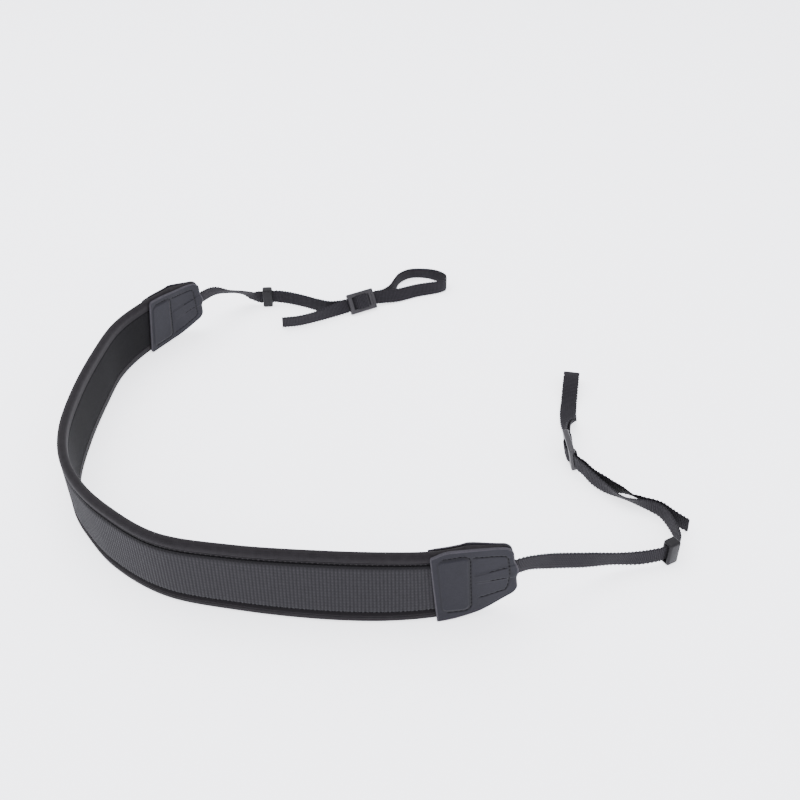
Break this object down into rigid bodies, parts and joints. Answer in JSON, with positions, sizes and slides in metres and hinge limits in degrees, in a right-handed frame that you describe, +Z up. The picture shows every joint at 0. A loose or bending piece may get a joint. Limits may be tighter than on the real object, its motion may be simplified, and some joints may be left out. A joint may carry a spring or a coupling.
{
  "type": "camera neck strap",
  "caption": "Padded neck strap lying on edge as an open loop: foam pad with a ribbed outer panel, leather end leaves, narrow webbing, keepers, slide buckles and an open lug loop at each end.",
  "frame": {"origin": "middle of the strap's plan, on the table that it lies on", "axes": "+X to the right along the near stretch of the pad, +Y away from that stretch towards the lug loops, +Z up from the table; the pad and most of the webbing stand on edge"},
  "size_m": [0.368, 0.3676, 0.0479],
  "materials": {
    "foam": "matt knitted facing over closed-cell foam",
    "ribbed_cloth": "woven with raised ribs",
    "lining_cloth": "smooth knit",
    "leather": "fine grain, satin",
    "webbing": "cross-ribbed narrow weave",
    "plastic": "moulded, satin"
  },
  "bodies": {
    "root": {"neck_pad": "foam", "outer_panel": "ribbed_cloth", "inner_panel": "lining_cloth", "right_outer_leaf": "leather", "right_inner_leaf": "leather", "left_outer_leaf": "leather", "left_inner_leaf": "leather", "right_webbing": "webbing", "left_webbing": "webbing", "right_keeper": "plastic", "left_keeper": "plastic", "right_buckle": "plastic", "left_buckle": "plastic"}
  },
  "joints": []
}
